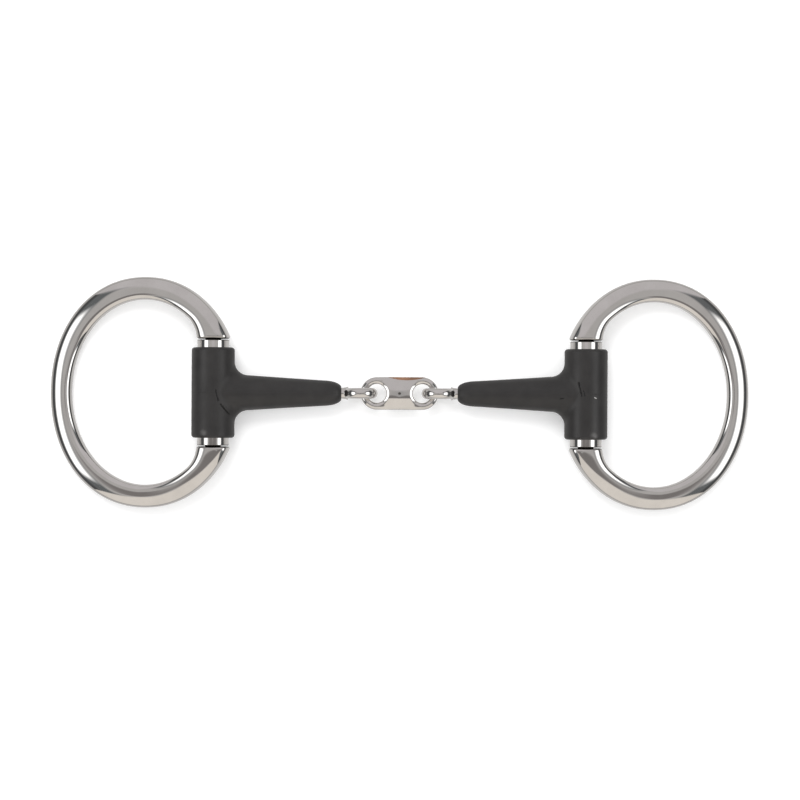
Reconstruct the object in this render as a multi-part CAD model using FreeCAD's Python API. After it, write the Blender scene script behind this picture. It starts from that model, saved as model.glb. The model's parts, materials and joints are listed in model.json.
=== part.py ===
import FreeCAD, Part
import math
import os

# Snaffle bit with egg-butt cheeks, rubber-covered arms and a lozenge link. Millimetres.
# Frame: +X along the mouthpiece, +Y along the cheek hinge pins, +Z up.
# The bit lies on a flat surface at z = 0, and the origin is under the middle of the link.
# The right half is modelled, and the left half is its mirror image.

Vec = FreeCAD.Vector

# Driving dimensions
mouth_width = 127.0          # between the two rubber barrels, across the horse's mouth

# Centre link: a lozenge with a hole near each end
link_bar_reach = 13.7        # from the middle of the link to the middle of each end bar
link_bar_radius = 1.35       # the round end bar that the eye hangs on
link_end_radius = 6.3        # outline at each end, so the link is twice this wide
link_middle_half_height = 2.0
link_edge_half_height = 1.0  # where the bevels meet the long edges
link_land_half_width = 1.8   # flat band along the middle of each face
link_edge_rounding = 0.7
inlay_length = 14.6          # copper let into one long edge, as a shallow lens
inlay_depth = 1.2            # at its middle, measured in from the edge
inlay_offset = 2.9           # from the middle of the link towards the right

# Eye at the inner end of each arm: a round loop that stands in the XZ plane
eye_outer_radius = 6.6
eye_wire_depth = 3.6         # radial thickness of the loop's oval wire
eye_wire_width = 4.1
eye_running_room = 0.3       # between the taut eye and the link's end bar

# Barrel: a steel tube that the cheek's hinge pin runs in, covered with rubber
tube_radius = 6.1
tube_length = 40.6
pin_radius = 3.0
bore_clearance = 0.05        # radial, a running fit
pin_socket_depth = 5.0       # how far the pin is pressed into each end of the ring
collar_gap = 0.5             # between the tube's end and the ring's end
sleeve_radius = 8.3
sleeve_length = 34.8
sleeve_rim_rounding = 1.2
sleeve_flare_radius = 5.2    # moulded fillet between the rubber barrel and the rubber arm

# Rubber arm: radius at distances from the barrel's axis
arm_root_radius = 7.75       # at the barrel's axis, inside the barrel
arm_middle_at = 27.0
arm_middle_radius = 5.87
arm_waist_at = 43.0
arm_waist_radius = 4.9
arm_tip_corner_at = 48.0     # the tip rounds over inside this corner
arm_tip_corner_radius = 4.7
arm_end_at = 49.4
arm_end_radius = 2.6
core_root_radius = 4.6       # steel core inside the rubber
core_tip_radius = 2.2

# Cheek ring: outlines are measured outward from the barrel's axis
outer_centre = 26.5
outer_reach = 37.0           # half length of the outer outline, outward
outer_rise = 44.5            # half height of the outer outline
outer_fullness = 2.1         # 2 is an ellipse, more is squarer
inner_centre = 26.6
inner_reach = 28.6
inner_rise = 35.7
shoulder_top = 28.6          # height at which the inner outline leaves its ellipse
shoulder_offset = 2.45       # and how far it has moved at the ring's end
shoulder_power = 1.4
ring_thickness = 5.8
ring_end_thickness = 10.4
ring_rim_rounding = 0.8
crest_share = 0.67           # of the band's width, from the outer edge to its thickest line
end_crest_share = 0.5
# Section curve handles as shares: rise at the outer edge, runs to and from the crest, rise inside
bow_handles = (0.55, 0.5, 0.55, 0.55)
arch_handles = (0.2, 0.9, 0.9, 0.6)
end_handles = (0.7, 0.9, 0.9, 0.7)
flatten_end = 0.6            # share of the half ring by which its crest is at its flattest
swell_start = 0.62           # share of the half ring at which its section starts to change
arch_lift = 0.03             # keeps the arches, which bulge a little more than the bow, off the surface
station_count = 16           # sections in half a ring

# Values that follow
link_hole_centre = link_bar_reach + link_bar_radius - link_end_radius
barrel_x = mouth_width / 2 + sleeve_radius
barrel_z = sleeve_radius
eye_hole_radius = eye_outer_radius - eye_wire_depth
eye_play = eye_hole_radius - link_bar_radius - eye_running_room
arm_tilt = math.atan((barrel_z - eye_outer_radius) / (barrel_x - link_bar_reach - eye_play))
eye_at = (barrel_x - link_bar_reach) / math.cos(arm_tilt) - eye_play
link_z = barrel_z - (barrel_x - link_bar_reach) * math.tan(arm_tilt)
ring_end_y = tube_length / 2 + collar_gap
pin_half_length = ring_end_y + pin_socket_depth
crest_at = outer_centre + outer_reach
crest_at -= crest_share * (outer_centre + outer_reach - inner_centre - inner_reach)
ring_tilt = math.asin((barrel_z - ring_thickness / 2 - arch_lift) / crest_at)


def tilted_barrel_place(angle):
    """Placement that turns about the barrel's axis and moves it to its place."""
    turn = FreeCAD.Rotation(Vec(0, 1, 0), math.degrees(angle))
    return FreeCAD.Placement(Vec(barrel_x, 0, barrel_z), turn)


def placed(shape, angle):
    copy = shape.copy()
    copy.Placement = tilted_barrel_place(angle)
    return copy


def barrel_cylinder(radius, length):
    """Cylinder about the barrel's axis, centred on the origin."""
    return Part.makeCylinder(radius, length, Vec(0, -length / 2, 0), Vec(0, 1, 0))


def mirrored(shape):
    return shape.mirror(Vec(0, 0, 0), Vec(1, 0, 0))


# Centre link and its copper inlay

def link_blank():
    """Lozenge with bevelled faces, before the inlay is let in."""
    half_width = link_end_radius
    corners = [
        Vec(0, half_width, link_edge_half_height),
        Vec(0, link_land_half_width, link_middle_half_height),
        Vec(0, -link_land_half_width, link_middle_half_height),
        Vec(0, -half_width, link_edge_half_height),
        Vec(0, -half_width, -link_edge_half_height),
        Vec(0, -link_land_half_width, -link_middle_half_height),
        Vec(0, link_land_half_width, -link_middle_half_height),
        Vec(0, half_width, -link_edge_half_height),
    ]
    profile = Part.Face(Part.makePolygon(corners + corners[:1]))
    full_length = 2 * (link_hole_centre + link_end_radius)
    profile.translate(Vec(-full_length / 2, 0, 0))
    bar = profile.extrude(Vec(full_length, 0, 0))
    long_edges = [e for e in bar.Edges if abs(abs(e.CenterOfMass.y) - half_width) < 0.01
                  and abs(e.Length - full_length) < 0.01]
    bar = bar.makeFillet(link_edge_rounding, long_edges)
    depth = 4 * link_middle_half_height
    ends = []
    rims = []
    for side in (-1, 1):
        centre = Vec(side * link_hole_centre, 0, 0)
        ends.append(Part.makeCylinder(link_end_radius - link_bar_radius, depth,
                                      centre - Vec(0, 0, depth / 2)))
        rims.append(Part.makeTorus(link_end_radius - link_bar_radius, link_bar_radius, centre))
    middle_length = 2 * link_hole_centre
    middle = Part.makeBox(middle_length, 2 * half_width, depth,
                          Vec(-middle_length / 2, -half_width, -depth / 2))
    blank = bar.common(middle.fuse(ends[0]).fuse(ends[1]))
    blank = blank.fuse(rims[0]).fuse(rims[1])
    for side in (-1, 1):
        centre = Vec(side * link_hole_centre, 0, -depth / 2)
        well = Part.makeCylinder(link_end_radius - link_bar_radius, depth, centre)
        rim = rims[(side + 1) // 2]
        blank = blank.cut(well.cut(rim))
    return blank


def make_link_parts():
    blank = link_blank()
    arc_radius = ((inlay_length / 2) ** 2 + inlay_depth ** 2) / (2 * inlay_depth)
    depth = 4 * link_middle_half_height
    arc_centre = Vec(inlay_offset, link_end_radius - inlay_depth + arc_radius, -depth / 2)
    pocket = Part.makeCylinder(arc_radius, depth, arc_centre)
    inlay = blank.common(pocket)
    link = blank.cut(pocket)
    for shape in (link, inlay):
        shape.translate(Vec(0, 0, link_z))
    return link, inlay


# Mouthpiece core and its rubber sleeve, with the arm along -X from the barrel's axis

def eye_loop():
    """Closed loop of oval wire in the XZ plane, round the eye's middle."""
    middle = Vec(-eye_at, 0, 0)
    wire_at = middle + Vec(0, 0, eye_outer_radius - eye_wire_depth / 2)
    oval = Part.Ellipse(Vec(0, 0, 0), eye_wire_width / 2, eye_wire_depth / 2).toShape()
    oval = Part.Face(Part.Wire(oval))
    oval.Placement = FreeCAD.Placement(wire_at, FreeCAD.Rotation(Vec(1, 1, 1), 120))
    return oval.revolve(middle, Vec(0, 1, 0), 360)


def core_solid():
    """Steel core without the bore of its barrel tube."""
    inward = Vec(-1, 0, 0)
    tube = barrel_cylinder(tube_radius, tube_length)
    wire_at = eye_outer_radius - eye_wire_depth / 2
    arm_length = eye_at - wire_at
    arm = Part.makeCone(core_root_radius, core_tip_radius, arm_length, Vec(0, 0, 0), inward)
    clear_eye = Part.makeCylinder(wire_at, 20, Vec(-eye_at, -10, 0), Vec(0, 1, 0))
    return tube.fuse(arm.cut(clear_eye)).fuse(eye_loop())


def rubber_arm():
    """Tapered arm as a solid of revolution about the X axis."""
    taper = Part.BSplineCurve()
    taper.interpolate([
        Vec(0, arm_root_radius, 0),
        Vec(-arm_middle_at, arm_middle_radius, 0),
        Vec(-arm_waist_at, arm_waist_radius, 0),
    ])
    tip = Part.BezierCurve()
    tip_start = Vec(-arm_waist_at, arm_waist_radius, 0)
    tip_end = Vec(-arm_end_at, arm_end_radius, 0)
    tip_corner = Vec(-arm_tip_corner_at, arm_tip_corner_radius, 0)
    tip.setPoles([tip_start, tip_corner, tip_end])
    face_edges = [
        taper.toShape(),
        tip.toShape(),
        Part.makeLine(tip_end, Vec(-arm_end_at, 0, 0)),
        Part.makeLine(Vec(-arm_end_at, 0, 0), Vec(0, 0, 0)),
        Part.makeLine(Vec(0, 0, 0), Vec(0, arm_root_radius, 0)),
    ]
    face = Part.Face(Part.Wire(face_edges))
    return face.revolve(Vec(0, 0, 0), Vec(1, 0, 0), 360)


def make_arm_parts():
    core = core_solid()
    barrel = barrel_cylinder(sleeve_radius, sleeve_length)
    rims = [e for e in barrel.Edges if abs(abs(e.CenterOfMass.y) - sleeve_length / 2) < 0.01]
    barrel = barrel.makeFillet(sleeve_rim_rounding, rims)
    sleeve = barrel.fuse(rubber_arm())
    joint_edges = [e for e in sleeve.Edges
                   if e.BoundBox.YLength > arm_root_radius and e.BoundBox.XMax < 0
                   and e.BoundBox.XMin > -sleeve_radius - 0.1 and e.BoundBox.YMax < sleeve_length / 3]
    sleeve = sleeve.makeFillet(sleeve_flare_radius, joint_edges)
    sleeve = sleeve.cut(core)
    core = core.cut(barrel_cylinder(pin_radius + bore_clearance, tube_length + 2))
    return placed(core, -arm_tilt), placed(sleeve, -arm_tilt)


# Cheek ring and its hinge pin, with +X outward from the barrel's axis

def ease(share):
    """Smooth step from 0 to 1."""
    share = min(max(share, 0.0), 1.0)
    return share * share * (3 - 2 * share)


def mix(first, second, share):
    return first + (second - first) * share


def outline_point(centre, reach, rise, fullness, angle):
    """Point of a superellipse at an angle from the outward direction."""
    cosine = math.cos(angle)
    sine = math.sin(angle)
    radius = (abs(cosine / reach) ** fullness + abs(sine / rise) ** fullness) ** (-1 / fullness)
    return Vec(centre + radius * cosine, radius * sine, 0)


def end_angle(reach, rise, fullness):
    """Angle at which a superellipse comes down to the ring's end."""
    across = reach * (1 - (ring_end_y / rise) ** fullness) ** (1 / fullness)
    return math.atan2(ring_end_y, -across)


def shoulder_shift(height):
    drop = (shoulder_top - abs(height)) / (shoulder_top - ring_end_y)
    return shoulder_offset * max(drop, 0.0) ** shoulder_power


def ring_section(share):
    """Closed wire at a share of the half ring: 0 is the middle of the bow, 1 and -1 the ends."""
    outer_angle = share * end_angle(outer_reach, outer_rise, outer_fullness)
    inner_angle = share * end_angle(inner_reach, inner_rise, 2)
    outer = outline_point(outer_centre, outer_reach, outer_rise, outer_fullness, outer_angle)
    inner = outline_point(inner_centre, inner_reach, inner_rise, 2, inner_angle)
    if math.cos(inner_angle) < 0:
        inner.x += shoulder_shift(inner.y)
    swell = ease((abs(share) - swell_start) / (1 - swell_start))
    half = mix(ring_thickness, ring_end_thickness, swell) / 2
    crest = mix(crest_share, end_crest_share, swell)
    width = inner - outer
    across = width * crest
    back = width * (1 - crest)
    flatten = ease(abs(share) / flatten_end)
    handles = [mix(mix(bow, arch, flatten), end, swell)
               for bow, arch, end in zip(bow_handles, arch_handles, end_handles)]
    edge_rise, crest_run, inner_run, inner_rise_share = handles
    curves = []
    for up in (1, -1):
        rise = Vec(0, 0, up)
        top = outer + across + rise * half
        outside = [outer, outer + rise * edge_rise * half, top - across * crest_run, top]
        inward = [top, top + back * inner_run, inner + rise * inner_rise_share * half, inner]
        curves += [outside, inward] if up > 0 else [inward[::-1], outside[::-1]]
    edges = []
    for poles in curves:
        curve = Part.BezierCurve()
        curve.setPoles(poles)
        edges.append(curve.toShape())
    return Part.Wire(edges)


def make_cheek_parts():
    shares = [i / station_count for i in range(-station_count, station_count + 1)]
    ring = Part.makeLoft([ring_section(share) for share in shares], True, False)
    end_edges = [e for e in ring.Edges if abs(abs(e.CenterOfMass.y) - ring_end_y) < 0.01]
    ring = ring.makeFillet(ring_rim_rounding, end_edges)
    pin = barrel_cylinder(pin_radius, 2 * pin_half_length)
    ring = ring.cut(pin)
    return placed(ring, ring_tilt), placed(pin, ring_tilt)


def save(name, shape):
    solids = shape.Solids
    shape = solids[0] if len(solids) == 1 else Part.makeCompound(solids)
    print(name, "solids", len(solids), "valid", shape.isValid(), "volume", round(shape.Volume, 1))
    shape.exportStep("parts/" + name + ".step")


os.makedirs("parts", exist_ok=True)
link, inlay = make_link_parts()
save("centre_link", link)
save("copper_inlay", inlay)
core, sleeve = make_arm_parts()
ring, pin = make_cheek_parts()
pair_parts = {
    "mouthpiece_core": core,
    "rubber_sleeve": sleeve,
    "cheek_ring": ring,
    "hinge_pin": pin,
}
for name, shape in pair_parts.items():
    save("right_" + name, shape)
    save("left_" + name, mirrored(shape))
print("barrel axis x, z:", round(barrel_x, 3), round(barrel_z, 3))
print("link hinge x, z:", round(link_bar_reach, 3), round(link_z, 3))
print("eye centre, from the barrel:", round(eye_at, 3))
print("arm tilt, ring tilt:", round(math.degrees(arm_tilt), 2), round(math.degrees(ring_tilt), 2))
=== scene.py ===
import json
import math
import bmesh
import bpy
from mathutils import Matrix, Vector


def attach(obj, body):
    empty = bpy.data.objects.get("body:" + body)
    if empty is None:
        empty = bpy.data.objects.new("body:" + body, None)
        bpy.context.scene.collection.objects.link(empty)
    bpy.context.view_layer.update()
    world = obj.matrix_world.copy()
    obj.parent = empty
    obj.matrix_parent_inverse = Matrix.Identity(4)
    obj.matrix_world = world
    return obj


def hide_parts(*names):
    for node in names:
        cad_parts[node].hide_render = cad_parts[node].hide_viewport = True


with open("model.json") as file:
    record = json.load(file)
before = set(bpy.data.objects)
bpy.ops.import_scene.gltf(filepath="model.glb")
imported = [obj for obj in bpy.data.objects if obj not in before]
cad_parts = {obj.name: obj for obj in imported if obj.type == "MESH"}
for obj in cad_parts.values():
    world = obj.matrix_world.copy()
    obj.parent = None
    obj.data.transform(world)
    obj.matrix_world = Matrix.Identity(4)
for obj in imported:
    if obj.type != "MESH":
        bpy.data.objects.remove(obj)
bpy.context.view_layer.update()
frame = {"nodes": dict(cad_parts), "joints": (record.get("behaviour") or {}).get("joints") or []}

# Shapes and the camera are given in millimetres and degrees, finishes and the studio in metres.
mm = 0.001
joints = {joint["name"]: Vector(joint["pos_m"]) for joint in frame["joints"]}
barrelAxis = joints["right_cheek_hinge"] / mm    # the right barrel's middle
linkHinge = joints["right_link_joint"] / mm
armTilt = math.atan2(barrelAxis.z - linkHinge.z, barrelAxis.x - linkHinge.x)
armReach = (barrelAxis.x - linkHinge.x) / math.cos(armTilt)
sides = ("left", "right")
weldDistance = 0.002 * mm    # points closer than this are one point
tiny = 0.000001


def sidePlace(side, tilt):
    # the left side is the right one turned half round, because both are alike front and back
    place = Matrix.Translation(barrelAxis) @ Matrix.Rotation(tilt, 4, "Y")
    if side == "left":
        place = Matrix.Rotation(math.pi, 4, "Z") @ place
    return Matrix.Scale(mm, 4) @ place


# Formulas in node trees

class nodeNumber:
    # a number somewhere in a node tree, so that a formula can be written out in plain signs
    def __init__(self, tree, socket):
        self.tree = tree
        self.socket = socket

    def __add__(self, other):
        return maths(self.tree, "ADD", self, other)

    def __sub__(self, other):
        return maths(self.tree, "SUBTRACT", self, other)

    def __mul__(self, other):
        return maths(self.tree, "MULTIPLY", self, other)

    def __truediv__(self, other):
        return maths(self.tree, "DIVIDE", self, other)

    def __pow__(self, other):
        return maths(self.tree, "POWER", self, other)

    def __radd__(self, other):
        return maths(self.tree, "ADD", other, self)

    def __rsub__(self, other):
        return maths(self.tree, "SUBTRACT", other, self)

    def __rtruediv__(self, other):
        return maths(self.tree, "DIVIDE", other, self)

    def __abs__(self):
        return maths(self.tree, "ABSOLUTE", self)

    def __neg__(self):
        return maths(self.tree, "MULTIPLY", self, -1.0)

    def do(self, operation, *others):
        return maths(self.tree, operation, self, *others)

    def clamped(self, low=0.0, high=1.0):
        return self.do("MAXIMUM", low).do("MINIMUM", high)

    def eased(self):
        share = self.clamped()
        return share * share * (3.0 - share * 2.0)


def plug(tree, value, socket):
    if isinstance(value, nodeNumber):
        tree.links.new(value.socket, socket)
    elif isinstance(value, bpy.types.NodeSocket):
        tree.links.new(value, socket)
    else:
        socket.default_value = value


def maths(tree, operation, *values):
    node = tree.nodes.new("ShaderNodeMath")
    node.operation = operation
    for value, socket in zip(values, node.inputs):
        plug(tree, value, socket)
    return nodeNumber(tree, node.outputs[0])


def mix(first, second, share):
    return first + (second - first) * share


def past(number, limit, soft):
    # 0 below a limit and 1 above it, with a soft edge
    return ((number - limit) / soft + 0.5).eased()


def below(number, limit, soft):
    return past(-number, -limit, soft)


def pointOf(tree, x, y, z):
    node = tree.nodes.new("ShaderNodeCombineXYZ")
    for value, socket in zip((x, y, z), node.inputs):
        plug(tree, value, socket)
    return node.outputs[0]


def numbersOf(tree, vectorSocket):
    node = tree.nodes.new("ShaderNodeSeparateXYZ")
    tree.links.new(vectorSocket, node.inputs[0])
    return [nodeNumber(tree, socket) for socket in node.outputs]


# Materials

def newMaterial(name, fixed):
    material = bpy.data.materials.new(name)
    material.use_nodes = True
    tree = material.node_tree
    shader = tree.nodes["Principled BSDF"]
    for label, value in fixed.items():
        shader.inputs[label].default_value = value
    return material, tree, shader


def objectPlace(tree):
    return tree.nodes.new("ShaderNodeTexCoord").outputs["Object"]


def noiseOf(tree, scale, detail, roughness=0.5, stretch=None):
    coordinates = objectPlace(tree)
    if stretch:
        mapping = tree.nodes.new("ShaderNodeMapping")
        mapping.inputs["Scale"].default_value = stretch
        tree.links.new(coordinates, mapping.inputs["Vector"])
        coordinates = mapping.outputs["Vector"]
    noise = tree.nodes.new("ShaderNodeTexNoise")
    noise.inputs["Scale"].default_value = scale
    noise.inputs["Detail"].default_value = detail
    noise.inputs["Roughness"].default_value = roughness
    tree.links.new(coordinates, noise.inputs["Vector"])
    return nodeNumber(tree, noise.outputs["Fac"])


def addBump(tree, shader, height, strength, distance):
    bump = tree.nodes.new("ShaderNodeBump")
    bump.inputs["Strength"].default_value = strength
    bump.inputs["Distance"].default_value = distance
    tree.links.new(height.socket, bump.inputs["Height"])
    earlier = shader.inputs["Normal"].links
    if earlier:
        tree.links.new(earlier[0].from_socket, bump.inputs["Normal"])
    tree.links.new(bump.outputs["Normal"], shader.inputs["Normal"])


def blendColours(tree, under, over, share):
    # either colour may be fixed or come from another node
    node = tree.nodes.new("ShaderNodeMix")
    node.data_type = "RGBA"
    plug(tree, share, node.inputs["Factor"])
    plug(tree, under, node.inputs["A"])
    plug(tree, over, node.inputs["B"])
    return node.outputs["Result"]


steelFinish = {
    "colour": (0.74, 0.725, 0.71, 1.0),
    "dullColour": (0.66, 0.645, 0.63, 1.0),
    "roughness": 0.045,
    "leastRoughness": 0.02,
    "patchScale": 90.0,
    "patchContrast": 2.4,
    "patchOffset": -0.75,
    "patchRoughness": 0.07,
    "scratchScale": 900.0,
    "scratchStretch": (0.08, 1.0, 1.0),
    "scratchRoughness": 0.03,
    "scratchStrength": 0.25,
    "scratchHeight": 0.000004,
    "waveScale": 45.0,
    "waveStrength": 0.35,
    "waveHeight": 0.0006,
    # painted shade with grime in the grooves at the tube's ends
    "grooveShadeAndGrime": (0.05, 0.045, 0.04, 1.0),
    "grooveShadeAndGrimeEdge": 0.00015,
    "grooveShadeAndGrimeReach": 0.084,
    "grooveShadeAndGrimeReachEdge": 0.002,
    "grooveShadeAndGrimeRoughness": 0.5,
}

# the grooves between a ring's ends and the tube: distances from the barrel's middle
ringGroove = (20.6 * mm, 21.1 * mm)
tubeGroove = (20.05 * mm, 20.6 * mm)
pinGroove = (19.9 * mm, 21.2 * mm)


def makeSteel(name, sizes, roughnessExtra, grooveShadeAndGrimeBand=None):
    material, tree, shader = newMaterial(name, {"Metallic": 1.0})
    patches = noiseOf(tree, sizes["patchScale"], detail=4.0, roughness=0.6)
    scratches = noiseOf(tree, sizes["scratchScale"], detail=2.0, roughness=0.6,
                        stretch=sizes["scratchStretch"])
    waves = noiseOf(tree, sizes["waveScale"], detail=1.0)
    dullness = (patches * sizes["patchContrast"] + sizes["patchOffset"]).clamped()
    colour = blendColours(tree, sizes["colour"], sizes["dullColour"], dullness)
    roughness = patches * sizes["patchRoughness"] + scratches * sizes["scratchRoughness"]
    roughness = roughness + (sizes["roughness"] + roughnessExtra - sizes["patchRoughness"] / 2)
    if grooveShadeAndGrimeBand:
        # painted shade with grime: the groove beside each end of the tube is darkened
        x, y, _ = numbersOf(tree, objectPlace(tree))
        grooveShadeAndGrime = past(abs(y), grooveShadeAndGrimeBand[0], sizes["grooveShadeAndGrimeEdge"])
        grooveShadeAndGrime = grooveShadeAndGrime * below(abs(y), grooveShadeAndGrimeBand[1], sizes["grooveShadeAndGrimeEdge"])
        grooveShadeAndGrime = grooveShadeAndGrime * below(abs(x), sizes["grooveShadeAndGrimeReach"], sizes["grooveShadeAndGrimeReachEdge"])
        colour = blendColours(tree, colour, sizes["grooveShadeAndGrime"], grooveShadeAndGrime)
        roughness = roughness + grooveShadeAndGrime * sizes["grooveShadeAndGrimeRoughness"]
    plug(tree, colour, shader.inputs["Base Color"])
    plug(tree, roughness.clamped(sizes["leastRoughness"], 1.0), shader.inputs["Roughness"])
    addBump(tree, shader, scratches, sizes["scratchStrength"], sizes["scratchHeight"])
    addBump(tree, shader, waves, sizes["waveStrength"], sizes["waveHeight"])
    return material


copperFinish = {
    "colour": (0.62, 0.36, 0.235, 1.0),
    "tarnish": (0.30, 0.19, 0.135, 1.0),
    "roughness": 0.12,
    "roughnessSpread": 0.25,
    "blotchScale": 420.0,
    "blotchStretch": (0.4, 1.0, 1.0),
    "blotchContrast": 3.0,
    "blotchOffset": -1.1,
    "grainScale": 2400.0,
    "grainStrength": 0.2,
    "grainHeight": 0.00001,
}


def makeCopper(sizes):
    material, tree, shader = newMaterial("tarnishedCopper", {"Metallic": 1.0})
    blotches = noiseOf(tree, sizes["blotchScale"], detail=4.0, roughness=0.6,
                       stretch=sizes["blotchStretch"])
    tarnished = (blotches * sizes["blotchContrast"] + sizes["blotchOffset"]).clamped()
    colour = blendColours(tree, sizes["colour"], sizes["tarnish"], tarnished)
    plug(tree, colour, shader.inputs["Base Color"])
    plug(tree, blotches * sizes["roughnessSpread"] + sizes["roughness"], shader.inputs["Roughness"])
    grain = noiseOf(tree, sizes["grainScale"], detail=2.0)
    addBump(tree, shader, grain, sizes["grainStrength"], sizes["grainHeight"])
    return material


# Each mark runs from one x, y to another, in millimetres from the bit's middle, on the upper side
rubberFinish = {
    "colour": (0.0172, 0.0162, 0.0162, 1.0),
    "indexOfRefraction": 1.5,
    "specular": 0.42,
    "roughness": 0.27,
    "roughnessScale": 75.0,
    "roughnessSpread": 0.34,
    "roughnessStretch": (1.0, 0.6, 1.0),
    "bloom": (0.0238, 0.0224, 0.0221, 1.0),
    "bloomScale": 160.0,
    "bloomContrast": 2.6,
    "bloomOffset": -0.9,
    "bloomStrength": 0.25,
    "bloomHeight": 0.0002,
    "grainScale": 5200.0,
    "grainStrength": 0.35,
    "grainHeight": 0.00002,
    "partingWidth": 0.00022,
    "wanderScale": 300.0,
    "wander": 0.0002,
    "partingRoughness": 0.08,
    "partingStrength": 0.5,
    "partingHeight": 0.0001,
    "markHeight": 0.0095,
    "markHeightEdge": 0.002,
    "wobbleScale": 700.0,
    "wobble": 0.0007,
    "creases": (
        (-70.2, 1.0, -69.2, -3.0),
        (-68.4, -4.4, -65.2, -8.2),
        (68.5, 4.4, 69.5, -0.6),
        (70.3, 1.2, 70.8, -0.6),
        (61.6, -1.7, 62.6, -1.6),
    ),
    # painted shade: the colour that darkens each crease
    "paintedCreaseShade": (0.003, 0.003, 0.003, 1.0),
    "creaseWidth": 0.00042,
    "creaseStrength": 0.7,
    "creaseDepth": 0.0004,
    # shiny patches near the barrels' lower rims: smoother, and lightened in colour as a painted glint
    "rimShinePatches": (
        (-75.2, -15.2, -74.6, -15.6),
        (74.2, -15.6, 74.9, -16.2),
    ),
    "rimGlintColour": (0.075, 0.072, 0.07, 1.0),
    "rimShineWidth": 0.0016,
    "rimShineContrast": 1.6,
    "rimShineOffset": -0.2,
    "rimShineSmoothing": 0.1,
    # painted glint: a small light spot on top of the right barrel
    "glintSpots": (
        (74.6, -1.2, 75.2, -1.5),
    ),
    "glintSpotColour": (0.42, 0.41, 0.40, 1.0),
    "glintSpotWidth": 0.0003,
}


def markShare(sizes, place, marks, width):
    # 1 in the middle of a mark and 0 beyond its width
    x, y, z = place
    strongest = None
    for startX, startY, endX, endY in marks:
        acrossX = (endX - startX) * mm
        acrossY = (endY - startY) * mm
        fromX = x - startX * mm
        fromY = y - startY * mm
        along = (fromX * acrossX + fromY * acrossY) / (acrossX ** 2 + acrossY ** 2)
        along = along.clamped()
        awayX = fromX - along * acrossX
        awayY = fromY - along * acrossY
        away = (awayX * awayX + awayY * awayY).do("SQRT") / width
        share = 1.0 - away.eased()
        strongest = share if strongest is None else strongest.do("MAXIMUM", share)
    return strongest * past(z, sizes["markHeight"], sizes["markHeightEdge"])


def partingShare(tree, sizes, y):
    # the faint line that the halves of the mould leave
    wander = (noiseOf(tree, sizes["wanderScale"], detail=2.0) - 0.5) * sizes["wander"]
    return 1.0 - (abs(y + wander) / sizes["partingWidth"]).eased()


def makeRubber(sizes):
    fixed = {"IOR": sizes["indexOfRefraction"], "Specular IOR Level": sizes["specular"]}
    material, tree, shader = newMaterial("mouldedRubber", fixed)
    bloom = noiseOf(tree, sizes["bloomScale"], detail=5.0, roughness=0.6)
    grain = noiseOf(tree, sizes["grainScale"], detail=2.0)
    x, y, z = numbersOf(tree, objectPlace(tree))
    parting = partingShare(tree, sizes, y)
    wobble = (noiseOf(tree, sizes["wobbleScale"], detail=2.0) - 0.5) * sizes["wobble"]
    wavering = (x + wobble, y, z)
    creaseAndShade = markShare(sizes, wavering, sizes["creases"], sizes["creaseWidth"])
    rimShineAndGlint = markShare(sizes, wavering, sizes["rimShinePatches"], sizes["rimShineWidth"])
    rimShineAndGlint = rimShineAndGlint * (bloom * sizes["rimShineContrast"] + sizes["rimShineOffset"])
    glintSpot = markShare(sizes, (x, y, z), sizes["glintSpots"], sizes["glintSpotWidth"])
    bloomed = (bloom * sizes["bloomContrast"] + sizes["bloomOffset"]).clamped()
    colour = blendColours(tree, sizes["colour"], sizes["bloom"], bloomed)
    # painted glint: the shiny patches near the lower rims are lightened
    colour = blendColours(tree, colour, sizes["rimGlintColour"], rimShineAndGlint)
    # painted shade darkens the creases; their dent is the bump further down
    colour = blendColours(tree, colour, sizes["paintedCreaseShade"], creaseAndShade)
    # painted glint on top of the right barrel
    colour = blendColours(tree, colour, sizes["glintSpotColour"], glintSpot)
    plug(tree, colour, shader.inputs["Base Color"])
    roughness = noiseOf(tree, sizes["roughnessScale"], detail=3.0, roughness=0.6,
                        stretch=sizes["roughnessStretch"])
    roughness = roughness * sizes["roughnessSpread"] + sizes["roughness"]
    roughness = roughness + parting * sizes["partingRoughness"] - rimShineAndGlint * sizes["rimShineSmoothing"]
    plug(tree, roughness, shader.inputs["Roughness"])
    addBump(tree, shader, grain, sizes["grainStrength"], sizes["grainHeight"])
    addBump(tree, shader, bloom, sizes["bloomStrength"], sizes["bloomHeight"])
    addBump(tree, shader, parting, sizes["partingStrength"], sizes["partingHeight"])
    addBump(tree, shader, 1.0 - creaseAndShade, sizes["creaseStrength"], sizes["creaseDepth"])
    return material


ringSteel = makeSteel("polishedRingSteel", steelFinish, 0.0, ringGroove)
coreSteel = makeSteel("polishedCoreSteel", steelFinish, 0.02, tubeGroove)
linkSteel = makeSteel("polishedLinkSteel", steelFinish, 0.01)
pinSteel = makeSteel("groundPinSteel", steelFinish, 0.22, pinGroove)
copper = makeCopper(copperFinish)
rubber = makeRubber(rubberFinish)
print("materials made")


# Meshes

def meshObject(name, points, faces, place, material, crease=None):
    mesh = bpy.data.meshes.new(name)
    mesh.from_pydata(points, [], faces)
    mesh.transform(place)
    piece = bpy.data.objects.new(name, mesh)
    bpy.context.scene.collection.objects.link(piece)
    mesh.materials.append(material)
    closeMesh(mesh, crease)
    return piece


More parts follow.
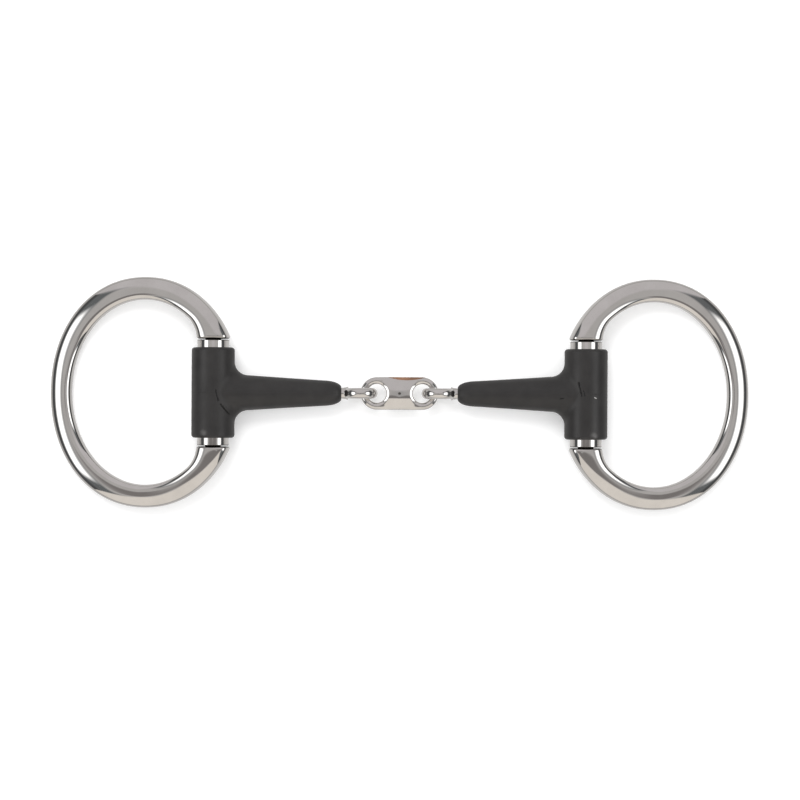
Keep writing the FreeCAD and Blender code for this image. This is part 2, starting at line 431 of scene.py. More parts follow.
def closeMesh(mesh, crease=None):
    # joins seams and poles, turns every face outwards and shades the mesh smooth
    work = bmesh.new()
    work.from_mesh(mesh)
    bmesh.ops.remove_doubles(work, verts=work.verts, dist=weldDistance)
    bmesh.ops.dissolve_degenerate(work, edges=work.edges, dist=weldDistance / 4)
    bmesh.ops.recalc_face_normals(work, faces=work.faces)
    work.to_mesh(mesh)
    work.free()
    mesh.polygons.foreach_set("use_smooth", [True] * len(mesh.polygons))
    if crease:
        mesh.set_sharp_from_angle(angle=math.radians(crease))


def gridFaces(rows, columns, closedRows=False, closedColumns=False):
    faces = []
    for row in range(rows if closedRows else rows - 1):
        for column in range(columns if closedColumns else columns - 1):
            nextRow = (row + 1) % rows
            nextColumn = (column + 1) % columns
            faces.append((
                row * columns + column,
                row * columns + nextColumn,
                nextRow * columns + nextColumn,
                nextRow * columns + column,
            ))
    return faces


def joinGrids(grids):
    points = []
    faces = []
    for gridPoints, gridQuads in grids:
        start = len(points)
        points += gridPoints
        faces += [tuple(start + corner for corner in quad) for quad in gridQuads]
    return points, faces


def evaluatedMesh(piece):
    # the piece's modifiers turned into a plain mesh
    graph = bpy.context.evaluated_depsgraph_get()
    mesh = bpy.data.meshes.new_from_object(piece.evaluated_get(graph), depsgraph=graph)
    piece.modifiers.clear()
    piece.data = mesh
    return mesh


def finishPiece(piece, body, slotName, *nodes):
    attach(piece, body)
    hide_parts(*nodes)


# Cheek rings: the section follows two outlines, and grows thicker and flat-faced at each end

cheekRing = {
    "stations": 260.0,
    "pointsAround": 80.0,
    "outerCentre": 26.5,
    "outerReach": 37.0,
    "outerRise": 44.5,
    "outerFullness": 2.1,
    "innerCentre": 26.6,
    "innerReach": 28.6,
    "innerRise": 35.7,
    "innerFullness": 2.0,
    "shoulderTop": 28.6,
    "shoulderOffset": 2.45,
    "shoulderPower": 1.4,
    "endHeight": 20.8,
    "rimRounding": 0.8,
    "thickness": 5.8,
    "endThickness": 10.4,
    "crestShare": 0.67,
    "endCrestShare": 0.5,
    "bowEdgeRise": 0.55,
    "bowCrestRun": 0.5,
    "bowInnerRun": 0.55,
    "bowInnerRise": 0.55,
    "archEdgeRise": 0.2,
    "archCrestRun": 0.9,
    "archInnerRun": 0.9,
    "archInnerRise": 0.6,
    "endEdgeRise": 0.7,
    "endCrestRun": 0.9,
    "endInnerRun": 0.9,
    "endInnerRise": 0.7,
    "flattenEnd": 0.6,
    "swellStart": 0.62,
    "archLift": 0.03,
    "capShare": 0.08,
}


def outlineIn(tree, centre, reach, rise, fullness, endTop, share):
    # point on a superellipse whose angle runs from the bow's middle to the ring's end
    across = reach * (1.0 - (endTop / rise) ** fullness) ** (1.0 / fullness)
    angle = maths(tree, "ARCTAN2", endTop, -across) * share
    cosine = angle.do("COSINE")
    sine = angle.do("SINE")
    radius = (abs(cosine / reach) ** fullness + abs(sine / rise) ** fullness) ** (-1.0 / fullness)
    return centre + radius * cosine, radius * sine, cosine


def curveRise(share, side):
    # height of a quarter of the section, whose first handle stands up and second lies level
    rest = 1.0 - share
    return rest * rest * share * 3.0 * side + rest * share * share * 3.0 + share ** 3.0


def curveRun(share, top):
    # distance along the same quarter, with the second handle's length as a share
    rest = 1.0 - share
    return rest * share * share * 3.0 * (1.0 - top) + share ** 3.0


def makeRingTree(sizes):
    tree = bpy.data.node_groups.new("cheekRing", "GeometryNodeTree")
    tree.interface.new_socket("Geometry", in_out="OUTPUT", socket_type="NodeSocketGeometry")
    labels = [*sizes, "tilt", "barrelX", "barrelZ", "turn"]
    for label in labels:
        tree.interface.new_socket(label, in_out="INPUT", socket_type="NodeSocketFloat")
    given = tree.nodes.new("NodeGroupInput")
    size = {label: nodeNumber(tree, given.outputs[label]) for label in labels}
    grid = tree.nodes.new("GeometryNodeMeshGrid")
    for label in ("Size X", "Size Y"):
        grid.inputs[label].default_value = 1.0
    plug(tree, size["stations"], grid.inputs["Vertices X"])
    plug(tree, size["pointsAround"], grid.inputs["Vertices Y"])
    along, around, _ = numbersOf(tree, tree.nodes.new("GeometryNodeInputPosition").outputs[0])

    # rows beyond the ends close them
    raw = along * 2.0 * (1.0 + size["capShare"])
    share = raw.clamped(-1.0, 1.0)
    cap = (abs(raw) - 1.0).do("MAXIMUM", 0.0) / size["capShare"]
    endTop = size["endHeight"] + size["rimRounding"]
    outerX, outerY, _ = outlineIn(tree, size["outerCentre"], size["outerReach"],
                                  size["outerRise"], size["outerFullness"], endTop, share)
    innerX, innerY, inward = outlineIn(tree, size["innerCentre"], size["innerReach"],
                                       size["innerRise"], size["innerFullness"], endTop, share)
    drop = (size["shoulderTop"] - abs(innerY)) / (size["shoulderTop"] - endTop)
    shift = size["shoulderOffset"] * drop.do("MAXIMUM", 0.0) ** size["shoulderPower"]
    innerX = innerX + shift * inward.do("LESS_THAN", 0.0)

    # section: a thin rounded outer edge, a flank, a crest and a round inner side
    swell = ((abs(share) - size["swellStart"]) / (1.0 - size["swellStart"])).eased()
    half = mix(size["thickness"], size["endThickness"], swell) * 0.5
    crest = mix(size["crestShare"], size["endCrestShare"], swell)
    flatten = (abs(share) / size["flattenEnd"]).eased()
    edgeRise, crestRun, innerRun, innerRise = [
        mix(mix(size["bow" + name], size["arch" + name], flatten), size["end" + name], swell)
        for name in ("EdgeRise", "CrestRun", "InnerRun", "InnerRise")
    ]
    turnRound = (around + 0.5) * 4.0
    upper = 2.0 - abs(turnRound - 2.0)
    side = (2.0 - turnRound).do("SIGN")
    outShare = upper.clamped()
    inShare = (2.0 - upper).clamped()
    isInner = upper.do("GREATER_THAN", 1.0)
    across = mix(curveRun(outShare, crestRun) * crest,
                 1.0 - curveRun(inShare, innerRun) * (1.0 - crest), isInner)
    height = mix(curveRise(outShare, edgeRise), curveRise(inShare, innerRise), isInner)

    # rounded rim, then the end face shrinks to its middle
    middleX = (outerX + innerX) * 0.5
    halfWidth = (innerX - outerX) * 0.5
    rimAngle = (cap * 2.0).clamped() * (math.pi / 2)
    inset = size["rimRounding"] * (1.0 - rimAngle.do("COSINE")) / abs(halfWidth)
    keep = (1.0 - inset) * (1.0 - (cap * 2.0 - 1.0).clamped())
    x = middleX + (mix(outerX, innerX, across) - middleX) * keep
    y = mix(outerY, innerY, across) - share.do("SIGN") * size["rimRounding"] * rimAngle.do("SINE")
    z = side * half * height * keep

    # down to the surface, out to the barrel, and half round for the left side
    cosTilt = size["tilt"].do("COSINE")
    sinTilt = size["tilt"].do("SINE")
    placedX = x * cosTilt + z * sinTilt + size["barrelX"]
    placedZ = z * cosTilt - x * sinTilt + size["barrelZ"]
    turned = size["turn"].do("COSINE")
    place = pointOf(tree, placedX * turned * mm, y * turned * mm, placedZ * mm)
    move = tree.nodes.new("GeometryNodeSetPosition")
    merge = tree.nodes.new("GeometryNodeMergeByDistance")
    merge.inputs["Distance"].default_value = weldDistance
    realize = tree.nodes.new("GeometryNodeRealizeInstances")
    paint = tree.nodes.new("GeometryNodeSetMaterial")
    paint.inputs["Material"].default_value = ringSteel
    output = tree.nodes.new("NodeGroupOutput")
    tree.links.new(place, move.inputs["Position"])
    tree.links.new(grid.outputs["Mesh"], move.inputs["Geometry"])
    for first, second in ((move, merge), (merge, realize), (realize, paint), (paint, output)):
        tree.links.new(first.outputs["Geometry"], second.inputs["Geometry"])
    return tree


def ringTilt(sizes):
    # each ring leans out until the crest of its bow meets the surface
    outerEdge = sizes["outerCentre"] + sizes["outerReach"]
    innerEdge = sizes["innerCentre"] + sizes["innerReach"]
    crestAt = mix(outerEdge, innerEdge, sizes["crestShare"])
    return math.asin((barrelAxis.z - sizes["thickness"] / 2 - sizes["archLift"]) / crestAt)


def makeRings(sizes):
    tree = makeRingTree(sizes)
    sockets = tree.interface.items_tree
    inputs = {item.name: item.identifier for item in sockets if item.in_out == "INPUT"}
    for side in sides:
        piece = bpy.data.objects.new(side + "_polished_ring", bpy.data.meshes.new("ring"))
        bpy.context.scene.collection.objects.link(piece)
        modifier = piece.modifiers.new("cheekRing", "NODES")
        modifier.node_group = tree
        places = {
            "tilt": ringTilt(sizes),
            "barrelX": barrelAxis.x,
            "barrelZ": barrelAxis.z,
            "turn": math.pi if side == "left" else 0.0,
        }
        for label, value in {**sizes, **places}.items():
            modifier[inputs[label]] = value
        mesh = evaluatedMesh(piece)
        closeMesh(mesh)
        finishPiece(piece, side + "_cheek", "ring_steel", side + "_cheek_ring")
        print(piece.name, len(mesh.polygons), "faces")


makeRings(cheekRing)


# Mouthpiece cores: barrel tube, tapered rod and the eye that hangs on the link

mouthCore = {
    "tubeRadius": 6.1,
    "boreRadius": 3.05,
    "tubeLength": 40.6,
    "tubeChamfer": 0.3,
    "eyeRadius": 6.6,
    "wireDepth": 3.6,
    "wireWidth": 4.1,
    "runningRoom": 0.3,
    "barRadius": 1.35,
    "neckRadius": 2.1,
    "neckStart": 40.0,
    "rodRootRadius": 4.6,
    "remeshSize": 0.13,
    "smoothing": 8,
    "turnSteps": 96,
    "chamferSteps": 5,
    "eyeSteps": 160,
    "wireSteps": 64,
    "neckSteps": 12,
    "neckFlare": 0.5,
    "rodSteps": 48,
    "creaseAngle": 40.0,
}


def lathe(profile, steps, place=None):
    # turns (radius, along) points about the X axis
    points = []
    for radius, along in profile:
        for step in range(steps):
            angle = math.tau * step / steps
            points.append(Vector((along, radius * math.cos(angle), radius * math.sin(angle))))
    if place:
        points = [place @ point for point in points]
    return points, gridFaces(len(profile), steps, closedColumns=True)


def makeTube(sizes):
    outside = sizes["tubeRadius"]
    bore = sizes["boreRadius"]
    end = sizes["tubeLength"] / 2
    chamfer = sizes["tubeChamfer"]
    profile = []
    for way in (-1, 1):
        edge = [(bore, way * end), (outside - chamfer, way * end)]
        for step in range(1, sizes["chamferSteps"] + 1):
            angle = math.pi / 2 * step / sizes["chamferSteps"]
            edge.append((outside - chamfer + chamfer * math.sin(angle),
                         way * (end - chamfer + chamfer * math.cos(angle))))
        profile += edge if way < 0 else edge[::-1]
    profile.append(profile[0])
    return lathe(profile, sizes["turnSteps"], Matrix.Rotation(math.pi / 2, 4, "Z"))


def makeEye(sizes):
    hole = sizes["eyeRadius"] - sizes["wireDepth"]
    middle = (sizes["eyeRadius"] + hole) / 2
    centre = armReach - (hole - sizes["barRadius"] - sizes["runningRoom"])
    points = []
    for row in range(sizes["eyeSteps"]):
        turn = math.tau * row / sizes["eyeSteps"]
        for column in range(sizes["wireSteps"]):
            wireTurn = math.tau * column / sizes["wireSteps"]
            radius = middle + sizes["wireDepth"] / 2 * math.cos(wireTurn)
            points.append(Vector((-centre + radius * math.cos(turn),
                                  sizes["wireWidth"] / 2 * math.sin(wireTurn),
                                  radius * math.sin(turn))))
    loop = (points, gridFaces(sizes["eyeSteps"], sizes["wireSteps"], True, True))

    # the neck flares out over its last quarter
    neckEnd = centre - middle
    profile = [(0, -sizes["neckStart"])]
    for step in range(sizes["neckSteps"] + 1):
        share = step / sizes["neckSteps"]
        flare = sizes["neckFlare"] * max(0.0, share * 4 - 3) ** 2
        profile.append((sizes["neckRadius"] + flare, -mix(sizes["neckStart"], neckEnd, share)))
    profile.append((0, -neckEnd))
    return joinGrids([loop, lathe(profile, sizes["rodSteps"])])


def makeRod(sizes):
    # the tapered steel inside the rubber
    profile = [(0, 0), (sizes["rodRootRadius"], 0), (sizes["neckRadius"], -sizes["neckStart"]),
               (0, -sizes["neckStart"])]
    return lathe(profile, sizes["rodSteps"])


def makeCores(sizes):
    for side in sides:
        place = sidePlace(side, -armTilt)
        eye = meshObject(side + "_eye", *makeEye(sizes), place, coreSteel)
        remesh = eye.modifiers.new("blend", "REMESH")
        remesh.mode = "VOXEL"
        remesh.voxel_size = sizes["remeshSize"] * mm
        smooth = eye.modifiers.new("smooth", "SMOOTH")
        smooth.iterations = sizes["smoothing"]
        mesh = evaluatedMesh(eye)
        mesh.materials.clear()
        mesh.materials.append(coreSteel)
        closeMesh(mesh)
        finishPiece(eye, side + "_arm", "core_steel", side + "_mouthpiece_core")
        tube = meshObject(side + "_barrel_tube", *joinGrids([makeTube(sizes), makeRod(sizes)]), place,
                          coreSteel, sizes["creaseAngle"])
        finishPiece(tube, side + "_arm", "core_steel", side + "_mouthpiece_core")
        print(side, "core", len(mesh.polygons), "faces in the eye")


makeCores(mouthCore)


# Rubber sleeves: a barrel and a tapered arm joined by the fillet that a rolling ball would leave

rubberSleeve = {
    "barrelRadius": 8.3,
    "boreRadius": 6.1,
    "barrelLength": 34.8,
    "rimRounding": 1.2,
    "filletRadius": 5.2,
    "rootRadius": 7.75,
    "middleAt": 27.0,
    "middleRadius": 5.87,
    "waistAt": 43.0,
    "waistRadius": 4.9,
    "tipCornerAt": 48.0,
    "tipCornerRadius": 4.7,
    "tipAt": 49.35,
    "tipRadius": 2.6,
    "patchAngle": 80.0,
    "patchSteps": 32,
    "patchRows": 12,
    "filletRows": 14,
    "armRows": 48,
    "tipRows": 14,
    "backSteps": 52,
    "rimSteps": 8,
    "boreChamfer": 0.15,
    "tipDish": 0.25,
    "tipInsets": (0.6, 0.15, 0.0),
    "settleSteps": 6,
}


def armRadius(sizes, at):
    # quadratic through the arm's root, middle and waist
    first = (sizes["middleRadius"] - sizes["rootRadius"]) / sizes["middleAt"]
    second = (sizes["waistRadius"] - sizes["middleRadius"]) / (sizes["waistAt"] - sizes["middleAt"])
    bend = (second - first) / sizes["waistAt"]
    return sizes["rootRadius"] + first * at + bend * at * (at - sizes["middleAt"])


def rollingBall(sizes, angle):
    # where a ball touches both barrel and arm, at an angle round the arm
    reach = sizes["barrelRadius"] + sizes["filletRadius"]
    at = sizes["barrelRadius"]
    for _ in range(sizes["settleSteps"]):
        out = armRadius(sizes, at) + sizes["filletRadius"]
        at = math.sqrt(reach ** 2 - (out * math.sin(angle)) ** 2)
    return Vector((-at, out * math.cos(angle), out * math.sin(angle)))


def barrelPoint(radius, angle, along):
    return Vector((-radius * math.cos(angle), along, radius * math.sin(angle)))


def sleeveColumns(sizes):
    # angles round the arm, each with its partner on the edge of a square patch of the barrel
    steps = sizes["patchSteps"]
    limit = math.radians(sizes["patchAngle"])
    flat = sizes["barrelLength"] / 2 - sizes["rimRounding"]
    columns = []
    for edge in range(4):
        for step in range(steps):
            share = 2 * step / steps - 1
            angle = math.pi / 2 * (edge + step / steps) - math.pi / 4
            corner = ((share * limit, flat), (limit, -share * flat),
                      (-share * limit, -flat), (-limit, share * flat))[edge]
            columns.append((angle, corner))
    return columns


def armColumn(sizes, angle, corner):
    radius = sizes["barrelRadius"]
    ball = rollingBall(sizes, angle)
    touchAngle = math.atan2(ball.z, -ball.x)
    points = []
    for row in range(sizes["patchRows"]):
        share = row / sizes["patchRows"]
        points.append(barrelPoint(radius, mix(corner[0], touchAngle, share),
                                  mix(corner[1], ball.y, share)))
    touch = barrelPoint(radius, touchAngle, ball.y)
    armDirection = Vector((0, math.cos(angle), math.sin(angle)))
    armTouch = ball - armDirection * sizes["filletRadius"]
    start = (touch - ball).normalized()
    end = (armTouch - ball).normalized()
    for row in range(sizes["filletRows"]):
        points.append(ball + start.slerp(end, row / sizes["filletRows"]) * sizes["filletRadius"])
    for row in range(sizes["armRows"]):
        at = mix(-ball.x, sizes["waistAt"], row / sizes["armRows"])
        points.append(Vector((-at, 0, 0)) + armDirection * armRadius(sizes, at))
    waist = Vector((sizes["waistAt"], sizes["waistRadius"]))
    tipCorner = Vector((sizes["tipCornerAt"], sizes["tipCornerRadius"]))
    tip = Vector((sizes["tipAt"], sizes["tipRadius"]))
    for row in range(sizes["tipRows"] + 1):
        share = row / sizes["tipRows"]
        bend = mix(mix(waist, tipCorner, share), mix(tipCorner, tip, share), share)
        points.append(Vector((-bend.x, 0, 0)) + armDirection * bend.y)
    for inset in sizes["tipInsets"]:
        points.append(Vector((-sizes["tipAt"] + sizes["tipDish"] * (1 - inset), 0, 0))
                      + armDirection * sizes["tipRadius"] * inset)
    return points


def barrelEnd(sizes, angles, way):
    # rim, end face and half of the bore, for one end of the barrel
    rim = sizes["rimRounding"]
    half = sizes["barrelLength"] / 2
    profile = []
    for step in range(sizes["rimSteps"] + 1):
        turn = math.pi / 2 * step / sizes["rimSteps"]
        profile.append((sizes["barrelRadius"] - rim + rim * math.cos(turn),
                        half - rim + rim * math.sin(turn)))
    bore = sizes["boreRadius"]
    chamfer = sizes["boreChamfer"]
    profile += [(bore + chamfer, half), (bore, half - chamfer), (bore, 0)]
    points = [barrelPoint(radius, angle, way * along) for radius, along in profile for angle in angles]
    return points, gridFaces(len(profile), len(angles), closedColumns=True)


def makeSleeve(sizes):
    columns = [armColumn(sizes, *column) for column in sleeveColumns(sizes)]
    rows = len(columns[0])
    arm = ([columns[c][r] for r in range(rows) for c in range(len(columns))],
           gridFaces(rows, len(columns), closedColumns=True))
    limit = math.radians(sizes["patchAngle"])
    front = [limit * (2 * step / sizes["patchSteps"] - 1) for step in range(sizes["patchSteps"])]
    back = [mix(limit, math.tau - limit, step / sizes["backSteps"])
            for step in range(sizes["backSteps"] + 1)]
    flat = sizes["barrelLength"] / 2 - sizes["rimRounding"]
    levels = [flat * (2 * step / sizes["patchSteps"] - 1) for step in range(sizes["patchSteps"] + 1)]
    backGrid = ([barrelPoint(sizes["barrelRadius"], angle, level) for level in levels
                 for angle in back], gridFaces(len(levels), len(back)))
    allAngles = front + back[:-1]
    return joinGrids([arm, backGrid, barrelEnd(sizes, allAngles, 1), barrelEnd(sizes, allAngles, -1)])


def makeSleeves(sizes):
    for side in sides:
        sleeve = meshObject(side + "_moulded_sleeve", *makeSleeve(sizes), sidePlace(side, -armTilt),
                            rubber)
        finishPiece(sleeve, side + "_arm", "black_rubber", side + "_rubber_sleeve")
        print(sleeve.name, len(sleeve.data.polygons), "faces")


makeSleeves(rubberSleeve)


# Centre link: a flat plate with a slightly domed land, bevels beside it and dished hole rims

linkPlate = {
    "holeAt": 8.75,
    "holeRadius": 3.6,
    "endRadius": 6.3,
    "wireRadius": 1.35,
    "middleHeight": 2.0,
    "landHalfWidth": 1.7,
    "landSoftness": 0.25,
    "bevelSlope": 0.22,
    "domeRadius": 23.0,
    "domeReach": 2.5,
    "edgeRounding": 1.0,
    "rimWidth": 1.2,
    "rimSlope": 0.36,
    "rimSoftness": 0.12,
    "rimRounding": 0.35,
    "blendStart": 4.6,
    "roundSteps": 72,
    "cornerSteps": 26,
    "acrossSteps": 48,
}


def roundedTo(distance, rounding):
    # quarter-circle edge
    share = min(max(distance / rounding, 0.0), 1.0)
    return math.sqrt(1 - (1 - share) ** 2)


def softMax(first, second, softness):
    return (first + second + math.hypot(first - second, softness)) / 2


def linkHeight(sizes, x, y):
    # half the link's thickness at a place
    fromHole = math.hypot(abs(x) - sizes["holeAt"], y)
    pastHole = abs(x) > sizes["holeAt"]
    toHole = fromHole - sizes["holeRadius"]
    toOutline = sizes["endRadius"] - (fromHole if pastHole else abs(y))
    offLand = softMax(abs(y) - sizes["landHalfWidth"], 0.0, sizes["landSoftness"])
    onLand = min(abs(y), sizes["landHalfWidth"])
    reach = sizes["domeReach"]
    dome = reach * (math.hypot(x, reach) - reach) + onLand * onLand / 2
    plate = sizes["middleHeight"] - dome / sizes["domeRadius"] - sizes["bevelSlope"] * offLand
    plate -= sizes["rimSlope"] * softMax(sizes["rimWidth"] - toHole, 0.0, sizes["rimSoftness"])
    plate *= roundedTo(toHole, sizes["rimRounding"]) * roundedTo(toOutline, sizes["edgeRounding"])
    # round wire beyond the hole
    wire = sizes["wireRadius"] * roundedTo(toHole, sizes["wireRadius"])
    wire *= roundedTo(toOutline, sizes["wireRadius"])
    share = (abs(x) - sizes["blendStart"]) / (sizes["holeAt"] - sizes["blendStart"])
    share = min(max(share, 0.0), 1.0)
    return mix(plate, wire, share * share * (3 - 2 * share))


def linkAngles(sizes):
    # directions from a hole's middle, with one at each corner of the outline
    cornerAngle = math.atan2(sizes["endRadius"], -sizes["holeAt"])
    stretches = (
        (-math.pi / 2, math.pi / 2, sizes["roundSteps"]),
        (math.pi / 2, cornerAngle, sizes["cornerSteps"]),
        (cornerAngle, math.tau - cornerAngle, sizes["cornerSteps"]),
        (math.tau - cornerAngle, math.tau - math.pi / 2, sizes["cornerSteps"]),
    )
    return [mix(first, last, step / steps) for first, last, steps in stretches
            for step in range(steps)]


def linkOutline(sizes, angle):
    # how far the half link's edge is from its hole's middle
    cosine = math.cos(angle)
    if cosine >= -tiny:
        return sizes["endRadius"]
    return min(sizes["endRadius"] / max(abs(math.sin(angle)), tiny), sizes["holeAt"] / -cosine)


def makeLink(sizes):
    angles = linkAngles(sizes)
    rows = sizes["acrossSteps"] + 1
    grids = []
    for way in (-1, 1):
        for face in (-1, 1):
            points = []
            for row in range(rows):
                share = (1 - math.cos(math.pi * row / sizes["acrossSteps"])) / 2
                for angle in angles:
                    radius = mix(sizes["holeRadius"], linkOutline(sizes, angle), share)
                    x = sizes["holeAt"] + radius * math.cos(angle)
                    y = radius * math.sin(angle)
                    points.append(Vector((way * x, y, face * linkHeight(sizes, x, y))))
            grids.append((points, gridFaces(rows, len(angles), closedColumns=True)))
    return joinGrids(grids)


linkPlace = Matrix.Scale(mm, 4) @ Matrix.Translation((0, 0, linkHinge.z))
link = meshObject("polished_link", *makeLink(linkPlate), linkPlace, linkSteel)
finishPiece(link, "centre_link", "link_steel", "centre_link")
print("link", len(link.data.polygons), "faces")


# Copper inlay: a shallow lens let into one long edge of the link

copperInlay = {
    "length": 14.6,
    "depth": 1.2,
    "offset": 2.9,
    "proud": 0.02,
    "lengthSteps": 80,
    "edgeSteps": 14,
    "creaseAngle": 50.0,
}


def makeInlay(sizes, plate):
    # each row wraps the link's edge from its lower face to its upper face
    points = []
    around = 2 * sizes["edgeSteps"] + 1
    arcRadius = ((sizes["length"] / 2) ** 2 + sizes["depth"] ** 2) / (2 * sizes["depth"])
    for row in range(sizes["lengthSteps"] + 1):
        along = sizes["length"] * (row / sizes["lengthSteps"] - 0.5)
        x = along + sizes["offset"]
        beyond = max(x - plate["holeAt"], 0.0)
        edge = math.sqrt(plate["endRadius"] ** 2 - beyond ** 2)
        depth = sizes["depth"] - arcRadius + math.sqrt(arcRadius ** 2 - along ** 2)
        depth -= plate["endRadius"] - edge
        for step in range(around):
            turn = math.pi * step / (around - 1)
            inset = max(depth, 0.0) * (1 - math.sin(turn))
            face = (step < around // 2) - (step > around // 2)
            height = linkHeight(plate, x, edge - inset) + sizes["proud"]
            points.append(Vector((x, edge - inset + sizes["proud"], face * height)))
    faces = gridFaces(sizes["lengthSteps"] + 1, around, closedColumns=True)
    faces.append(tuple(range(around)))
    faces.append(tuple(range(len(points) - around, len(points))))
    return points, faces


def paintPins():
    # the hinge pins keep their own meshes
    for side in sides:
        pin = frame["nodes"][side + "_hinge_pin"]
        pin.data.materials.clear()
        pin.data.materials.append(pinSteel)


inlay = meshObject("copper_strip", *makeInlay(copperInlay, linkPlate), linkPlace, copper,
                   copperInlay["creaseAngle"])
finishPiece(inlay, "centre_link", "copper", "copper_inlay")
paintPins()
print("inlay and pins done")


# Floor, lights and camera

studio = {
    "floorSize": 8.0,
    "floorColour": (0.93, 0.93, 0.93, 1.0),
    "floorRoughness": 0.9,
    "floorSpecular": 0.1,
    "floorGlow": 0.2,
    "worldStrength": 1.05,
    "keyPlace": (-0.30, 0.95, 1.25),
    "keySize": 0.8,
    "keyPower": 11.0,
    "tentRadius": 1.6,
    "tentSegments": 64,
    "tentRings": 48,
}

# What the steel reflects, by the names of the tent's panels
reflected = {
    "room": (0.155, 0.163, 0.168, 1.0),
    "low": (0.085, 0.088, 0.09, 1.0),
    "overhead": (0.45, 0.44, 0.435, 1.0),
    "ceiling": (0.52, 0.505, 0.495, 1.0),
    "back": (0.62, 0.595, 0.60, 1.0),
    "front": (0.87, 0.82, 0.76, 1.0),
    "gap": (0.24, 0.225, 0.22, 1.0),
    "softbox": (2.2, 2.2, 2.2, 1.0),
    "lens": (0.10, 0.095, 0.09, 1.0),
    "farTable": (0.38, 0.37, 0.36, 1.0),
    "nearTable": (0.68, 0.67, 0.66, 1.0),
}

# Each edge of a panel and how soft it is, mostly as distances over height
panelEdges = {
    "leastHeight": 0.01,
    "leastSide": 0.05,
    "lowSpread": (2.2, 1.0),
    "ceilingSide": (0.62, 0.16),
    "ceilingAhead": (0.5, 0.2),
    "overheadSpread": (0.16, 0.14),
    "backAhead": (0.0, 0.2),
    "backStart": 0.12,
    "frontAhead": (0.0, 0.08),
    "frontStart": 0.36,
    "sideSlope": 0.95,
    "gapAhead": (-0.34, 0.04),
    "gapTop": (0.0, 0.05),
    "gapTopSlope": 0.6,
    "gapTopStart": -0.17,
    "gapTopHighest": -0.07,
    "gapSide": (0.5, 0.2),
    "softboxInside": (0.78, 0.4),
    "softboxOutside": (1.9, 1.3),
    "softboxTurn": (0.52, 0.2),
    "softboxShift": 0.05,
    "lens": (0.0064, 0.003),
    "farTable": (0.0, 0.04),
    "nearTableShare": 0.5,
}


def makeFloor(sizes):
    half = sizes["floorSize"] / 2
    mesh = bpy.data.meshes.new("floor")
    corners = [(-half, -half, 0), (half, -half, 0), (half, half, 0), (-half, half, 0)]
    mesh.from_pydata(corners, [], [(0, 1, 2, 3)])
    floor = bpy.data.objects.new("floor", mesh)
    bpy.context.scene.collection.objects.link(floor)
    material = newMaterial("paleFloor", {
        "Base Color": sizes["floorColour"],
        "Roughness": sizes["floorRoughness"],
        "Specular IOR Level": sizes["floorSpecular"],
        "Emission Color": sizes["floorColour"],
        "Emission Strength": sizes["floorGlow"],    # softens the shadows
    })[0]
    mesh.materials.append(material)
    floor.visible_glossy = False    # the steel reflects the tent's table colours instead


def tentPanels(tree, edges, radius):
    # where each panel shows, by direction: side and ahead are distances over height
    x, y, z = numbersOf(tree, objectPlace(tree))
    height = z.do("MAXIMUM", edges["leastHeight"])
    side = abs(x / height)
    ahead = y / height
    spread = (side * side + ahead * ahead).do("SQRT")
    flank = side * edges["sideSlope"]
    back = ahead - flank.do("MAXIMUM", edges["backStart"])
    front = -ahead - flank.do("MAXIMUM", edges["frontStart"])
    gapTop = (side * edges["gapTopSlope"] + edges["gapTopStart"]).do("MINIMUM", edges["gapTopHighest"])
    turn = abs(ahead / side.do("MAXIMUM", edges["leastSide"]) + edges["softboxShift"])
    ceiling = below(side, *edges["ceilingSide"]) * below(abs(ahead), *edges["ceilingAhead"])
    gap = past(ahead, *edges["gapAhead"]) * past(gapTop - ahead, *edges["gapTop"])
    softbox = past(side, *edges["softboxInside"]) * below(side, *edges["softboxOutside"])
    return (
        ("low", past(spread, *edges["lowSpread"])),
        ("ceiling", ceiling),
        ("overhead", below(spread, *edges["overheadSpread"])),
        ("back", past(back, *edges["backAhead"])),
        ("front", past(front, *edges["frontAhead"])),
        ("gap", gap * below(side, *edges["gapSide"])),
        ("softbox", softbox * below(turn, *edges["softboxTurn"])),
        ("lens", below(x * x + y * y, *edges["lens"])),
        ("farTable", below(z, *edges["farTable"])),
        ("nearTable", (-z / (radius * edges["nearTableShare"])).clamped()),
    )


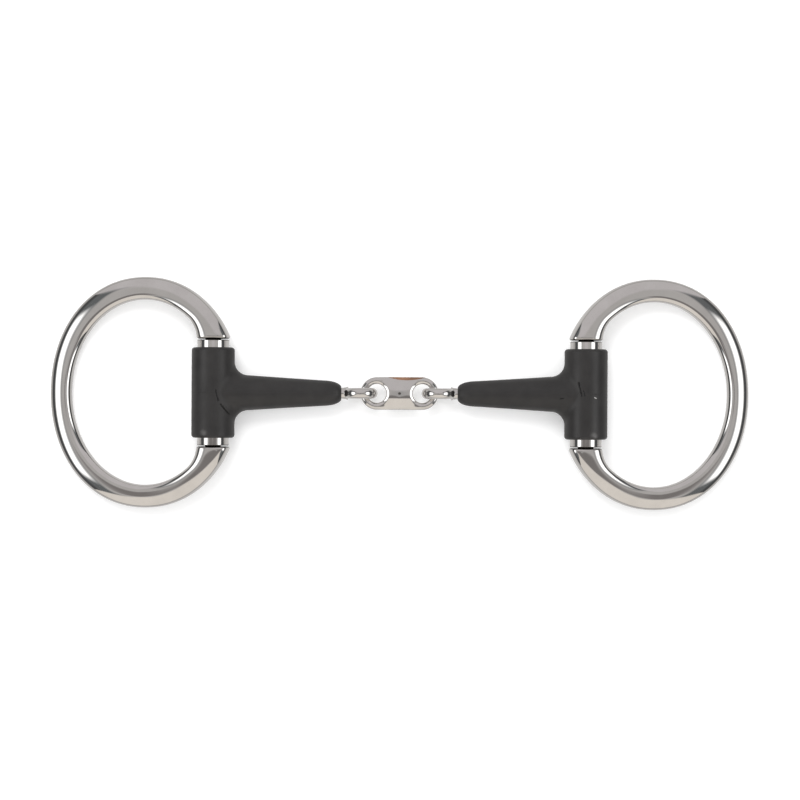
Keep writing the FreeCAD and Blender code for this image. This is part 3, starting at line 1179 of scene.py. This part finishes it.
def makeTent(sizes, colours, edges):
    # a round tent that only shows in reflections
    mesh = bpy.data.meshes.new("reflectionTent")
    work = bmesh.new()
    bmesh.ops.create_uvsphere(work, u_segments=sizes["tentSegments"], v_segments=sizes["tentRings"],
                              radius=sizes["tentRadius"])
    work.to_mesh(mesh)
    work.free()
    tent = bpy.data.objects.new("reflectionTent", mesh)
    bpy.context.scene.collection.objects.link(tent)
    material = bpy.data.materials.new("tentPanels")
    material.use_nodes = True
    tree = material.node_tree
    tree.nodes.clear()
    colour = colours["room"]
    for name, share in tentPanels(tree, edges, sizes["tentRadius"]):
        colour = blendColours(tree, colour, colours[name], share)
    emission = tree.nodes.new("ShaderNodeEmission")
    output = tree.nodes.new("ShaderNodeOutputMaterial")
    tree.links.new(colour, emission.inputs["Color"])
    tree.links.new(emission.outputs[0], output.inputs["Surface"])
    mesh.materials.append(material)
    tent.visible_camera = False
    tent.visible_diffuse = False
    tent.visible_transmission = False
    tent.visible_shadow = False


def makeLights(sizes):
    world = bpy.data.worlds.new("studio")
    bpy.context.scene.world = world
    world.use_nodes = True
    background = world.node_tree.nodes["Background"]
    background.inputs["Color"].default_value = (1.0, 1.0, 1.0, 1.0)
    background.inputs["Strength"].default_value = sizes["worldStrength"]
    light = bpy.data.lights.new("key", "AREA")
    light.size = sizes["keySize"]
    light.energy = sizes["keyPower"]
    key = bpy.data.objects.new("key", light)
    key.location = sizes["keyPlace"]
    key.rotation_euler = (-Vector(sizes["keyPlace"])).to_track_quat("-Z", "Y").to_euler()
    key.visible_glossy = False
    bpy.context.scene.collection.objects.link(key)


camera = {
    "distance": 1030.0,
    "frameWidth": 308.8,
    "sensor": 36.0,
    "middle": (0.2, -2.5, 6.0),
    "roll": -0.3,
    "clipStart": 10.0,
}


def makeCamera(sizes):
    data = bpy.data.cameras.new("camera")
    data.sensor_width = sizes["sensor"]
    data.lens = sizes["distance"] * sizes["sensor"] / sizes["frameWidth"]
    data.clip_start = sizes["clipStart"] * mm
    item = bpy.data.objects.new("camera", data)
    item.location = (Vector(sizes["middle"]) + Vector((0, 0, sizes["distance"]))) * mm
    item.rotation_euler = (0, 0, -math.radians(sizes["roll"]))
    bpy.context.scene.collection.objects.link(item)
    bpy.context.scene.camera = item


makeFloor(studio)
makeTent(studio, reflected, panelEdges)
makeLights(studio)
makeCamera(camera)
bpy.context.scene.view_settings.view_transform = "Standard"
print("studio ready")
